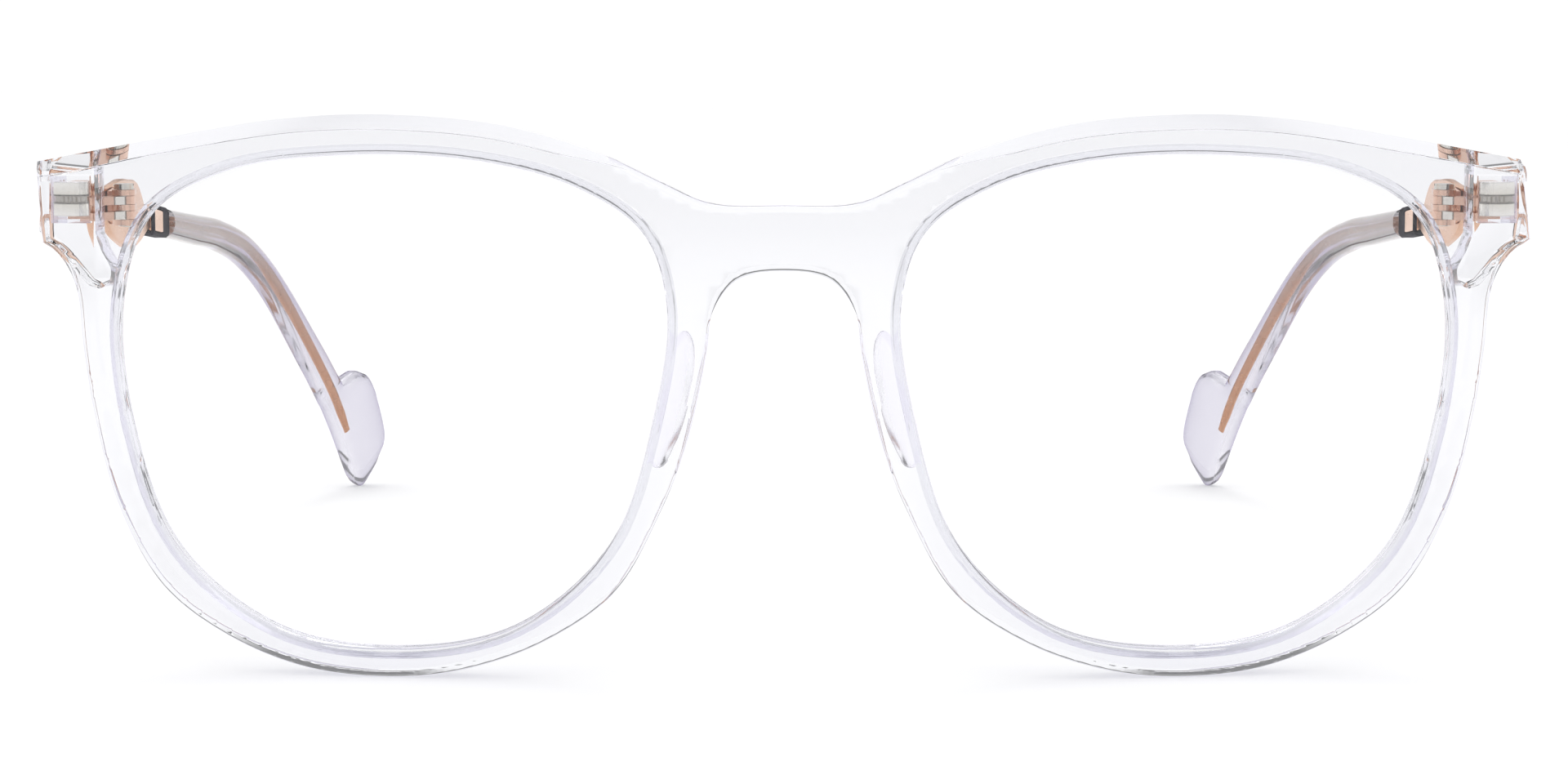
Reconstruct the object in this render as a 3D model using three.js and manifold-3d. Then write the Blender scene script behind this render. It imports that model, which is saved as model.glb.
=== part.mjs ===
// Blue light glasses: a clear moulded front on rose-gold metal temples with clear tips.
// Millimetres. +X is the wearer's left, +Y runs back towards the ears, +Z is up.
// Everything is drawn for the wearer's left half and mirrored for the right.
import * as THREE from "three";
import { TessellateModifier } from "three/addons/modifiers/TessellateModifier.js";
import { mergeVertices } from "three/addons/utils/BufferGeometryUtils.js";
import Module from "manifold-3d";

const wasm = await Module();
wasm.setup();

// ---------------------------------------------------------------- driving dimensions
const FACE_RADIUS = 300; // plan-view curve of the whole front
const BEND_STEP = 12; // longest edge on a piece that follows that curve
const RIM_DEPTH = 4; // rim, front to back
const RIM_EDGE = 0.8; // rounding on the rim's edges
const LENS_THICKNESS = 1.6;
const LENS_DOME = 1.2; // how far the lens's middle bulges forward
const LENS_BITE = 0.7; // how far the lens edge reaches into the rim
const GROOVE_GAP = 0.3; // clearance round the lens edge in its groove
const FIT_GAP = 0.15; // clearance between assembled metal pieces
const RUNNING_GAP = 0.06; // clearance in the hinge

const END_FRONT = 8; // where the end piece starts to wrap back
const END_BACK = 16.6; // the end piece's rear face
const END_SIDE_FRONT = 73.4; // outer side of the end piece, at its front
const END_SIDE_BACK = 72.1; // the same, at its rear face
const END_LAP = 0.4; // how far behind that the block's own front face lies, inside the rim
const END_EDGE = 0.6; // rounding on the block's edges
const END_INSIDE = 60; // well inside the lens opening, clear of the end piece
const RECESS_DEPTH = 0.95; // side recess that the temple's nose lies in
const RECESS_HEIGHT = 3.2;
const RECESS_Z = 46.2;

const HINGE_X = 66; // the hinge screw's axis
const HINGE_Y = 19.8;
const HINGE_Z = 44.9; // middle of the five knuckles
const HINGE_LEAF_THICKNESS = 0.7;
const KNUCKLE_RADIUS = 1.15;
const KNUCKLE_PITCH = 0.745; // from one knuckle's middle to the next
const SILVER_KNUCKLE = 0.8; // height of the front's two knuckles
const GOLD_KNUCKLE = 0.56; // height of the temple's three knuckles
const SCREW_RADIUS = 0.6;
const SCREW_HEAD_RADIUS = 1;
const SCREW_HEAD_HEIGHT = 0.6;
const SCREW_SLOT_WIDTH = 0.3;
const SCREW_SLOT_DEPTH = 0.2;

const ANCHOR_X = 69.6; // the moulded-in anchor's upright axis
const ANCHOR_Y = 11.6;
const ANCHOR_Z = 46.1;
const ANCHOR_RADIUS = 1.75;
const ANCHOR_HEIGHT = 3.3;
const WAIST_HEIGHT = 0.5; // knurled band between the anchor's two discs
const WAIST_RADIUS = 1.6;
const KNURL_TEETH = 18;
const KNURL_DEPTH = 0.2;
const DISC_LAP = 0.4; // how far the knurled band runs into each disc
const POCKET_HEIGHT = 4.6; // hollow in the end piece that holds the anchor
const POCKET_SHOULDER = [1, 2.4]; // how far behind the anchor's axis the pocket starts to slant
const POCKET_MOUTH = [-3, 0.7]; // the pocket's sides at the end piece's rear face, from the axis
const FOOT_SHIFT = -0.5; // the front hinge's foot, from the anchor's axis
const FOOT_HALF_WIDTH = 1.1;
const STEM_MOUTH = [-1.3, 0.6]; // the stem's sides behind the end piece, from the foot
const STEM_REACH = 0.7; // how far the stem comes out of the end piece
const STEM_LOW = -2.1; // the stem's underside and top, from the anchor's middle
const STEM_HIGH = 1.6;
const TAIL_SHIFT = [-0.6, 0.4]; // where the silver knuckles' tails meet the stem

const PAD_HALF_SIZE = [1.5, 6.4, 7.6]; // the nose pad's egg: across, back, up
const PAD_CENTRE = [9.9, 5.2, 27.5];
const PAD_SPLAY = 24; // degrees, opening towards the wearer
const PAD_LEAN = 13; // degrees, following the slope of the nose
const LENS_MIDDLE = [37.8, 26.5];

const ARM_THICKNESS = 0.75; // the metal temple's plate
const FERRULE_START = 44.5;
const FERRULE_END = 53.5;
const FERRULE_WALL = 0.35;
const WINDOW_START = 45; // the ferrule's inner side is open from here
const WINDOW_END = 50;
const TIP_START = 53.8;
const CUT_REACH = 20; // cutting blocks reach this far past what they cut

// ---------------------------------------------------------------- outlines, as [x, z]
const APERTURE = [
  [11.2, 36], [13.4, 43.2], [20, 47.7], [30, 50.2], [43, 50.6], [54, 49], [61.6, 44.6],
  [64.6, 36], [63.6, 23.6], [59.2, 12.2], [49.4, 4.6], [38, 2.8], [26, 5.1], [16.8, 13.2],
  [12.6, 25.2],
];
const TOP_EDGE = [
  [0, 45.9], [7, 46.1], [11.7, 48.1], [17.3, 50.7], [27, 53.5], [38, 54.5], [48, 54.1], [60, 52.2],
  [73, 49.8],
];
const LOWER_EDGE = [
  [73, 42.2], [70.9, 40.8], [69.2, 37.8], [68.5, 31.5], [67.6, 25.4], [65.3, 16.4], [60.8, 8.4],
  [54.4, 3.7], [46.4, 0.7], [37.6, -0.12], [31, 0.9], [23.5, 3.6], [16.4, 8.6], [11.9, 16.4],
  [9.3, 23.2], [7.4, 31.8], [6.8, 35.8], [4.5, 38.8], [0, 39.6],
];
const END_OUTLINE = [
  [65.6, 50.8], [72.6, 49.5], [73.8, 48.7], [73.8, 42.9], [73, 42.1], [70.6, 40.9],
  [69.3, 39.3], [68, 37.7], [66.9, 37.2], [65.9, 37.9], [65.6, 39.7],
];
// The metal temple from the side: distance behind the front, lower edge, upper edge.
const ARM_PROFILE = [
  [10, 44.75, 47.65], [17, 44.75, 47.55], [20.5, 44.4, 47.3], [22.6, 43.5, 46.8], [24, 42, 47],
  [27.5, 40.8, 47.4], [32.5, 39.9, 47.2], [38, 40.3, 46.7], [41.2, 40.8, 45.3], [44, 41.2, 43.6],
  [52.8, 40.3, 42.6],
];
// Where the plate's outer face runs, as [x, y] in plan.
const ARM_ROUTE = [
  [73, 10], [72.55, 13.3], [72, 16.8], [70.3, 19.8], [69, 23], [68.6, 28], [68.8, 36], [69.2, 45],
  [69.2, 60],
];
const HINGE_LEAF_PROFILE = [
  [22.6, -1.5, 1.5], [24, -1.9, 1.8], [28, -1.9, 1.8], [29.6, -1.5, 1.3], [30.6, -0.8, 0.5],
];

// The temple's centre line, as [x, y, z], and how its tip's section changes along it:
// share of the length, half height towards the ear, half height in front, half thickness.
const TEMPLE_LINE = [
  [68.8, TIP_START, 41.5], [68.7, 71, 39.9], [68.4, 86, 38.4], [67.6, 101, 35.5], [66.2, 112, 30.9],
  [64, 124, 22.9], [61.2, 136, 12.7], [59, 146.2, 0.3],
];
const TIP_SECTIONS = [
  [0, 1.5, 1.6, 1.4], [0.3, 1.7, 2, 1.5], [0.6, 1.9, 2.3, 1.5], [0.79, 2, 2.3, 1.4],
  [0.82, 2.8, 2.3, 1.35], [0.845, 5.6, 2.2, 1.3], [0.885, 7, 2.1, 1.3], [0.94, 6.8, 1.9, 1.25],
  [0.98, 4.6, 1.6, 1.1], [1, 0.8, 0.6, 0.5],
];
const TIP_TWIST = THREE.MathUtils.degToRad(34); // the paddle turns to lie behind the ear
const CORE_SHARE = 0.9; // how far the core wire runs into the tip
const CORE_HALF_HEIGHT = 0.75;
const CORE_HALF_THICKNESS = 0.45;

// ---------------------------------------------------------------- helpers
const vectors = (points) => points.map(([a, b]) => new THREE.Vector2(a, b));
const mirrorPoints = (points) => points.map(([a, b]) => [-a, b]).reverse();
const faceCurve = (x) => (x * x) / (2 * FACE_RADIUS);

// A closed body keeps only positions, shares its vertices and has its faces pointing out.
function closedBody(geometry) {
  const bare = new THREE.BufferGeometry();
  bare.setAttribute("position", geometry.getAttribute("position").clone());
  if (geometry.index) bare.setIndex(geometry.index.clone());
  const merged = mergeVertices(bare, 1e-4);
  const place = merged.getAttribute("position");
  const corners = merged.index.array;
  const kept = [];
  let volume = 0;
  const [a, b, c] = [new THREE.Vector3(), new THREE.Vector3(), new THREE.Vector3()];
  for (let i = 0; i < corners.length; i += 3) {
    const [p, q, r] = [corners[i], corners[i + 1], corners[i + 2]];
    if (p === q || q === r || r === p) continue;
    kept.push(p, q, r);
    a.fromBufferAttribute(place, p);
    b.fromBufferAttribute(place, q);
    c.fromBufferAttribute(place, r);
    volume += a.dot(b.cross(c));
  }
  if (volume < 0) kept.reverse();
  merged.setIndex(kept);
  return merged;
}

function solid(geometry) {
  const body = closedBody(geometry);
  const mesh = new wasm.Mesh({
    numProp: 3,
    vertProperties: new Float32Array(body.getAttribute("position").array),
    triVerts: new Uint32Array(body.index.array),
  });
  return new wasm.Manifold(mesh);
}

function surface(body) {
  const mesh = body.getMesh();
  const geometry = new THREE.BufferGeometry();
  geometry.setAttribute("position", new THREE.BufferAttribute(mesh.vertProperties, 3));
  geometry.setIndex(new THREE.BufferAttribute(mesh.triVerts, 1));
  return geometry;
}

// Moves every vertex by a rule, which is how flat pieces take the curve of the face.
function reshape(geometry, rule) {
  const place = geometry.getAttribute("position");
  const point = new THREE.Vector3();
  for (let i = 0; i < place.count; i += 1) {
    point.fromBufferAttribute(place, i);
    rule(point);
    place.setXYZ(i, point.x, point.y, point.z);
  }
  return geometry;
}

// Flat pieces are first divided into short edges, so that they bend evenly.
function followFace(geometry) {
  const fine = new TessellateModifier(BEND_STEP, 16).modify(geometry);
  return reshape(fine, (point) => { point.y += faceCurve(point.x); });
}

// An [x, z] outline run back along Y from y0 to y1.
function runBack(shape, y0, y1, edge = 0) {
  const geometry = new THREE.ExtrudeGeometry(shape, {
    depth: y1 - y0 - 2 * edge,
    bevelEnabled: edge > 0,
    bevelThickness: edge,
    bevelSize: edge,
    bevelOffset: -edge,
    bevelSegments: 1,
    curveSegments: 10,
  });
  return geometry.rotateX(Math.PI / 2).translate(0, y1 - edge, 0);
}

// An [x, y] plan run up along Z from z0 to z1.
function runUp(shape, z0, z1, edge = 0) {
  const geometry = new THREE.ExtrudeGeometry(shape, {
    depth: z1 - z0 - 2 * edge,
    bevelEnabled: edge > 0,
    bevelThickness: edge,
    bevelSize: edge,
    bevelOffset: -edge,
    bevelSegments: 1,
    curveSegments: 10,
  });
  return geometry.translate(0, 0, z0 + edge);
}

function block(x0, x1, y0, y1, z0, z1) {
  const geometry = new THREE.BoxGeometry(x1 - x0, y1 - y0, z1 - z0);
  return geometry.translate((x0 + x1) / 2, (y0 + y1) / 2, (z0 + z1) / 2);
}

function upright(radius, z0, z1, x, y, sides = 24) {
  const geometry = new THREE.CylinderGeometry(radius, radius, z1 - z0, sides);
  return geometry.rotateX(Math.PI / 2).translate(x, y, (z0 + z1) / 2);
}

const closedCurve = (points) =>
  new THREE.CatmullRomCurve3(points.map(([x, z]) => new THREE.Vector3(x, 0, z)), true);

const apertureCurve = closedCurve(APERTURE);
const APERTURE_STEPS = 48;

// The lens opening grown outwards by a margin, as evenly spaced [x, z] points.
function apertureLoop(margin) {
  const loop = [];
  for (let i = 0; i < APERTURE_STEPS; i += 1) {
    const share = i / APERTURE_STEPS;
    const at = apertureCurve.getPointAt(share);
    const along = apertureCurve.getTangentAt(share);
    loop.push([at.x - along.z * margin, at.z + along.x * margin]);
  }
  return loop;
}

// ---------------------------------------------------------------- the clear front
function frontShape() {
  const topCurve = new THREE.SplineCurve(vectors([...mirrorPoints(TOP_EDGE).slice(0, -1), ...TOP_EDGE]));
  const lowerHalf = LOWER_EDGE.slice(0, -1);
  const lowerCurve = new THREE.SplineCurve(vectors([...LOWER_EDGE, ...mirrorPoints(lowerHalf)]));
  const clockwise = [...topCurve.getPoints(32), ...lowerCurve.getPoints(108)];
  const shape = new THREE.Shape(clockwise.reverse());
  const left = vectors(apertureLoop(0));
  const right = vectors(mirrorPoints(apertureLoop(0)));
  shape.holes.push(new THREE.Path(left), new THREE.Path(right));
  return shape;
}

const sideX = (y) => {
  const share = (y - END_FRONT) / (END_BACK - END_FRONT);
  return THREE.MathUtils.lerp(END_SIDE_FRONT, END_SIDE_BACK, share);
};

// The end piece's wrapped-back block: its front view cut by its plan.
function endBlock() {
  const frontView = solid(runBack(new THREE.Shape(vectors(END_OUTLINE)), END_FRONT + END_LAP, END_BACK, END_EDGE));
  const plan = new THREE.Shape(vectors([
    [END_INSIDE, RIM_DEPTH], [sideX(RIM_DEPTH), RIM_DEPTH],
    [sideX(END_BACK + 1), END_BACK + 1], [END_INSIDE, END_BACK + 1],
  ]));
  return frontView.intersect(solid(runUp(plan, RECESS_Z - CUT_REACH, RECESS_Z + CUT_REACH)));
}

function pocket() {
  const half = ANCHOR_RADIUS + GROOVE_GAP;
  const outerWall = ANCHOR_X + ANCHOR_RADIUS + FIT_GAP;
  const plan = new THREE.Shape(vectors([
    [ANCHOR_X - half, ANCHOR_Y - half], [outerWall, ANCHOR_Y - half],
    [outerWall, ANCHOR_Y + POCKET_SHOULDER[0]], [ANCHOR_X + POCKET_MOUTH[1], END_BACK + 1],
    [ANCHOR_X + POCKET_MOUTH[0], END_BACK + 1], [ANCHOR_X - half, ANCHOR_Y + POCKET_SHOULDER[1]],
  ]));
  return runUp(plan, ANCHOR_Z - POCKET_HEIGHT / 2, ANCHOR_Z + POCKET_HEIGHT / 2);
}

function sideRecess() {
  const plan = new THREE.Shape(vectors([
    [sideX(RIM_DEPTH) - RECESS_DEPTH, RIM_DEPTH], [ANCHOR_X + CUT_REACH, RIM_DEPTH],
    [ANCHOR_X + CUT_REACH, END_BACK + 1], [sideX(END_BACK + 1) - RECESS_DEPTH, END_BACK + 1],
  ]));
  return runUp(plan, RECESS_Z - RECESS_HEIGHT / 2, RECESS_Z + RECESS_HEIGHT / 2);
}

function lensGroove() {
  const half = LENS_THICKNESS / 2 + GROOVE_GAP;
  const shape = new THREE.Shape(vectors(apertureLoop(LENS_BITE + GROOVE_GAP)));
  return followFace(runBack(shape, RIM_DEPTH / 2 - half, RIM_DEPTH / 2 + half));
}

function frontFrame() {
  let body = solid(followFace(runBack(frontShape(), 0, RIM_DEPTH, RIM_EDGE)));
  for (const flip of [false, true]) {
    body = body.add(solid(side(endBlock(), flip)));
    for (const cut of [lensGroove(), pocket(), sideRecess()]) {
      body = body.subtract(solid(side(cut, flip)));
    }
  }
  const floor = block(-ANCHOR_X, ANCHOR_X, -CUT_REACH, CUT_REACH, -CUT_REACH, 0);
  return surface(body.subtract(solid(floor)));
}

// ---------------------------------------------------------------- lenses and nose pads
function lens() {
  const half = LENS_THICKNESS / 2;
  const rings = [0.45, 0.8];
  const profile = [[0, -half], ...rings.map((r) => [r, -half]), [1, -half], [1, half]];
  profile.push(...[...rings].reverse().map((r) => [r, half]), [0, half]);
  const disc = new THREE.LatheGeometry(vectors(profile), APERTURE_STEPS);
  const loop = apertureLoop(LENS_BITE);
  return followFace(reshape(disc, (point) => {
    const reach = Math.hypot(point.x, point.z);
    const turn = Math.atan2(point.x, point.z) / (2 * Math.PI);
    const step = Math.round(((turn + 1) % 1) * APERTURE_STEPS) % APERTURE_STEPS;
    const depth = RIM_DEPTH / 2 + point.y - LENS_DOME * (1 - reach * reach);
    point.set(
      THREE.MathUtils.lerp(LENS_MIDDLE[0], loop[step][0], reach),
      depth,
      THREE.MathUtils.lerp(LENS_MIDDLE[1], loop[step][1], reach),
    );
  }));
}

// A moulded pad: half an egg behind the rim's nose side, leaning with it and splayed out.
function nosePad() {
  const egg = new THREE.SphereGeometry(1, 20, 14).scale(...PAD_HALF_SIZE);
  egg.rotateZ(THREE.MathUtils.degToRad(-PAD_SPLAY)).rotateY(THREE.MathUtils.degToRad(-PAD_LEAN));
  egg.translate(...PAD_CENTRE);
  const rearFace = RIM_DEPTH + faceCurve(PAD_CENTRE[0] + PAD_HALF_SIZE[0]) + GROOVE_GAP;
  const rim = block(0, CUT_REACH, rearFace - CUT_REACH, rearFace, 0, 3 * CUT_REACH);
  return surface(solid(egg).subtract(solid(rim)));
}

// ---------------------------------------------------------------- hinges
// One silver spool: two round discs with a knurled band between them.
function hingeAnchor() {
  const low = ANCHOR_Z - ANCHOR_HEIGHT / 2;
  const high = ANCHOR_Z + ANCHOR_HEIGHT / 2;
  const band = new THREE.Shape();
  for (let i = 0; i < 2 * KNURL_TEETH; i += 1) {
    const turn = (i * Math.PI) / KNURL_TEETH;
    const reach = i % 2 ? WAIST_RADIUS : WAIST_RADIUS - KNURL_DEPTH;
    const at = [ANCHOR_X + reach * Math.cos(turn), ANCHOR_Y + reach * Math.sin(turn)];
    if (i) band.lineTo(...at);
    else band.moveTo(...at);
  }
  const discs = [[low, ANCHOR_Z - WAIST_HEIGHT / 2], [ANCHOR_Z + WAIST_HEIGHT / 2, high]];
  let body = solid(runUp(band, low + DISC_LAP, high - DISC_LAP));
  for (const [z0, z1] of discs) {
    body = body.add(solid(upright(ANCHOR_RADIUS, z0, z1, ANCHOR_X, ANCHOR_Y)));
  }
  return surface(body);
}

// A knuckle plate in plan: a round eye on the screw's axis with a tail to one side.
function knucklePlan(tail) {
  const shape = new THREE.Shape();
  const [dx, dy] = [tail[0] - HINGE_X, tail[1] - HINGE_Y];
  const heading = Math.atan2(dy, dx);
  shape.absarc(HINGE_X, HINGE_Y, KNUCKLE_RADIUS, heading + Math.PI / 2, heading - Math.PI / 2 + 2 * Math.PI);
  const across = [Math.sin(heading) * KNUCKLE_RADIUS, -Math.cos(heading) * KNUCKLE_RADIUS];
  shape.lineTo(tail[0] + across[0], tail[1] + across[1]);
  shape.lineTo(tail[0] - across[0], tail[1] - across[1]);
  return shape;
}

function knuckles(offsets, height, tail) {
  const plates = offsets.map((offset) => {
    const middle = HINGE_Z + offset * KNUCKLE_PITCH;
    return solid(runUp(knucklePlan(tail), middle - height / 2, middle + height / 2));
  });
  return plates.reduce((sum, plate) => sum.add(plate));
}

function screwBore() {
  const [low, high] = [HINGE_Z - CUT_REACH, HINGE_Z + CUT_REACH];
  return solid(upright(SCREW_RADIUS + RUNNING_GAP, low, high, HINGE_X, HINGE_Y));
}

// The silver half: two knuckles on a foot that sits against the anchor in the pocket.
function frontHinge() {
  const foot = [ANCHOR_X + FOOT_SHIFT, ANCHOR_Y + ANCHOR_RADIUS + FIT_GAP];
  const stem = new THREE.Shape(vectors([
    [foot[0] - FOOT_HALF_WIDTH, foot[1]], [foot[0] + FOOT_HALF_WIDTH, foot[1]],
    [foot[0] + STEM_MOUTH[1], END_BACK + STEM_REACH],
    [foot[0] + STEM_MOUTH[0], END_BACK + STEM_REACH],
  ]));
  const web = solid(runUp(stem, ANCHOR_Z + STEM_LOW, ANCHOR_Z + STEM_HIGH));
  const tail = [foot[0] + TAIL_SHIFT[0], END_BACK + TAIL_SHIFT[1]];
  const body = web.add(knuckles([-1, 1], SILVER_KNUCKLE, tail));
  return surface(body.subtract(screwBore()));
}

// The gold half: three knuckles on a leaf that lies on the temple's inner face.
function templeHinge() {
  const profile = HINGE_LEAF_PROFILE.map(([y, low, high]) => [y, HINGE_Z + low, HINGE_Z + high]);
  const face = (y) => armOuter(y) - ARM_THICKNESS - FIT_GAP;
  const leaf = solid(strip(profile, face, HINGE_LEAF_THICKNESS));
  const root = [face(24) - KNUCKLE_RADIUS - 0.1, 23.8];
  const body = leaf.add(knuckles([-2, 0, 2], GOLD_KNUCKLE, root));
  return surface(body.subtract(screwBore()));
}

function hingeScrew() {
  const top = HINGE_Z + 2 * KNUCKLE_PITCH + GOLD_KNUCKLE / 2;
  const bottom = HINGE_Z - 2 * KNUCKLE_PITCH - GOLD_KNUCKLE / 2;
  const shank = solid(upright(SCREW_RADIUS, bottom - 0.1, top + 0.3, HINGE_X, HINGE_Y));
  const crown = top + SCREW_HEAD_HEIGHT;
  const head = solid(upright(SCREW_HEAD_RADIUS, top + RUNNING_GAP, crown, HINGE_X, HINGE_Y));
  const slot = block(
    HINGE_X - CUT_REACH, HINGE_X + CUT_REACH,
    HINGE_Y - SCREW_SLOT_WIDTH / 2, HINGE_Y + SCREW_SLOT_WIDTH / 2,
    crown - SCREW_SLOT_DEPTH, crown + 1,
  );
  return surface(shank.add(head).subtract(solid(slot)));
}

// ---------------------------------------------------------------- temples
const armRoute = new THREE.CatmullRomCurve3(ARM_ROUTE.map(([x, y]) => new THREE.Vector3(x, y, 0)));
const armRoutePoints = armRoute.getPoints(60);

// The outer face of the metal temple at a distance behind the front.
function armOuter(y) {
  const next = armRoutePoints.findIndex((point) => point.y >= y);
  if (next < 0) return armRoutePoints.at(-1).x;
  if (next === 0) return armRoutePoints[0].x;
  const [a, b] = [armRoutePoints[next - 1], armRoutePoints[next]];
  return THREE.MathUtils.mapLinear(y, a.y, b.y, a.x, b.x);
}

// Interpolates a table at a value of its first column.
function tableAt(table, value) {
  const found = table.findIndex((row) => row[0] >= value);
  const next = found < 0 ? table.length - 1 : Math.max(1, found);
  const [a, b] = [table[next - 1], table[next]];
  const blend = THREE.MathUtils.mapLinear(value, a[0], b[0], 0, 1);
  return a.map((from, i) => THREE.MathUtils.lerp(from, b[i], blend));
}

// A thin plate along the temple: its profile gives the height, and x = outer(y) its outer face.
function strip(profile, outer, thickness) {
  const pieces = 4 * (profile.length - 1);
  const plate = new THREE.BoxGeometry(1, 1, 1, 1, pieces, 1);
  return reshape(plate, (point) => {
    const station = (point.y + 0.5) * (profile.length - 1);
    const row = Math.min(Math.floor(station + 1e-6), profile.length - 2);
    const y = THREE.MathUtils.lerp(profile[row][0], profile[row + 1][0], station - row);
    const [, low, high] = tableAt(profile, y);
    point.set(outer(y) + (point.x - 0.5) * thickness, y, THREE.MathUtils.lerp(low, high, point.z + 0.5));
  });
}

const templeArm = () => strip(ARM_PROFILE, armOuter, ARM_THICKNESS);

// A black sleeve round the arm's end, open on its inner side so that the metal shows.
function ferrule() {
  const sleeve = (y0, y1, margin) => [y0, y1].map((y) => {
    const [, low, high] = tableAt(ARM_PROFILE, y);
    return [y, low - margin, high + margin];
  });
  const skin = FIT_GAP + FERRULE_WALL;
  const shell = solid(strip(
    sleeve(FERRULE_START, FERRULE_END, skin), (y) => armOuter(y) + skin, ARM_THICKNESS + 2 * skin,
  ));
  const bore = solid(strip(
    sleeve(FERRULE_START - 1, FERRULE_END - FERRULE_WALL, FIT_GAP),
    (y) => armOuter(y) + FIT_GAP,
    ARM_THICKNESS + 2 * FIT_GAP,
  ));
  const window = solid(strip(
    sleeve(WINDOW_START, WINDOW_END, FIT_GAP), (y) => armOuter(y) - ARM_THICKNESS, 3,
  ));
  return surface(shell.subtract(bore).subtract(window));
}

const templeLine = new THREE.CatmullRomCurve3(TEMPLE_LINE.map((at) => new THREE.Vector3(...at)));

// A bar swept along the temple's centre line with a rounded, changing section.
function sweep(share0, share1, steps, sides, section) {
  const bar = new THREE.CylinderGeometry(1, 1, 1, sides, steps);
  return reshape(bar, (point) => {
    const share = THREE.MathUtils.lerp(share0, share1, 0.5 - point.y);
    const reach = Math.min(1, Math.hypot(point.x, point.z));
    const angle = Math.atan2(point.z, point.x);
    const along = templeLine.getTangentAt(share);
    const centre = templeLine.getPointAt(share);
    const twist = -TIP_TWIST * THREE.MathUtils.smoothstep(share, 0.5, 0.9);
    const up = new THREE.Vector3(0, -along.z, along.y).normalize().applyAxisAngle(along, twist);
    const out = new THREE.Vector3().crossVectors(along, up).negate();
    const [back, front, thick] = section(share);
    const squarish = (value) => Math.sign(value) * Math.abs(value) ** 0.75 * reach;
    const rise = squarish(Math.cos(angle));
    centre.addScaledVector(up, rise * (rise > 0 ? back : front));
    centre.addScaledVector(out, squarish(Math.sin(angle)) * thick);
    point.copy(centre);
  });
}

function coreWire() {
  return sweep(0.004, CORE_SHARE, 18, 8, () => [CORE_HALF_HEIGHT, CORE_HALF_HEIGHT, CORE_HALF_THICKNESS]);
}

function templeTip() {
  const outside = solid(sweep(0, 1, 30, 12, (share) => tableAt(TIP_SECTIONS, share).slice(1)));
  const [tall, thick] = [CORE_HALF_HEIGHT + FIT_GAP, CORE_HALF_THICKNESS + FIT_GAP];
  const bore = solid(sweep(0, CORE_SHARE + 0.005, 18, 8, () => [tall, tall, thick]));
  const [x, , z] = TEMPLE_LINE[0];
  const end = TEMPLE_LINE.at(-1);
  const mouth = solid(block(
    x - CUT_REACH, x + CUT_REACH, TIP_START - CUT_REACH, TIP_START + FIT_GAP, z - CUT_REACH, z + CUT_REACH,
  ));
  const floor = solid(block(
    end[0] - CUT_REACH, end[0] + CUT_REACH, end[1] - CUT_REACH, end[1] + CUT_REACH, -CUT_REACH, 0,
  ));
  return surface(outside.subtract(bore).subtract(mouth).subtract(floor));
}

// ---------------------------------------------------------------- the assembly
// The wearer's left piece as drawn, or its mirror image for the right.
function side(piece, flip) {
  const geometry = piece instanceof THREE.BufferGeometry ? piece : surface(piece);
  return flip ? geometry.scale(-1, 1, 1) : geometry;
}

const finish = (color, roughness, metalness, opacity = 1) =>
  new THREE.MeshStandardMaterial({ color, roughness, metalness, opacity, transparent: opacity < 1 });
const clearPlastic = finish(0xeceefa, 0.05, 0, 0.3);
const lensPlastic = finish(0xf6f8ff, 0.02, 0, 0.15);
const roseGold = finish(0xdca47a, 0.25, 1);
const silver = finish(0xd8d8d2, 0.3, 1);
const blackEnamel = finish(0x262230, 0.35, 0);

const glasses = new THREE.Group();

function place(name, geometry, material) {
  const mesh = new THREE.Mesh(closedBody(geometry), material);
  mesh.name = name;
  glasses.add(mesh);
}

const PAIRS = [
  ["lens", lens, lensPlastic],
  ["nose_pad", nosePad, clearPlastic],
  ["hinge_anchor", hingeAnchor, silver],
  ["front_hinge", frontHinge, silver],
  ["hinge_screw", hingeScrew, silver],
  ["temple_hinge", templeHinge, roseGold],
  ["temple_arm", templeArm, roseGold],
  ["ferrule", ferrule, blackEnamel],
  ["core_wire", coreWire, roseGold],
  ["temple_tip", templeTip, clearPlastic],
];

place("front_frame", frontFrame(), clearPlastic);
for (const [name, make, material] of PAIRS) {
  place(`left_${name}`, side(make(), false), material);
  place(`right_${name}`, side(make(), true), material);
}

// The origin is on the floor, under the middle of the glasses.
const box = new THREE.Box3().setFromObject(glasses);
glasses.position.y = -(box.min.y + box.max.y) / 2;

export default glasses;
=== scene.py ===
"""Clear blue light glasses with rose-gold temples, standing open on a white floor.

Sizes are in millimetres in the part's own drawing frame, where y = 0 is the front of the bridge
and z = 0 is the floor. The wearer's left half (x > 0) is drawn and the right half is its mirror.
"""

import math

import bmesh
import bpy
from mathutils import Matrix, Vector


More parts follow.
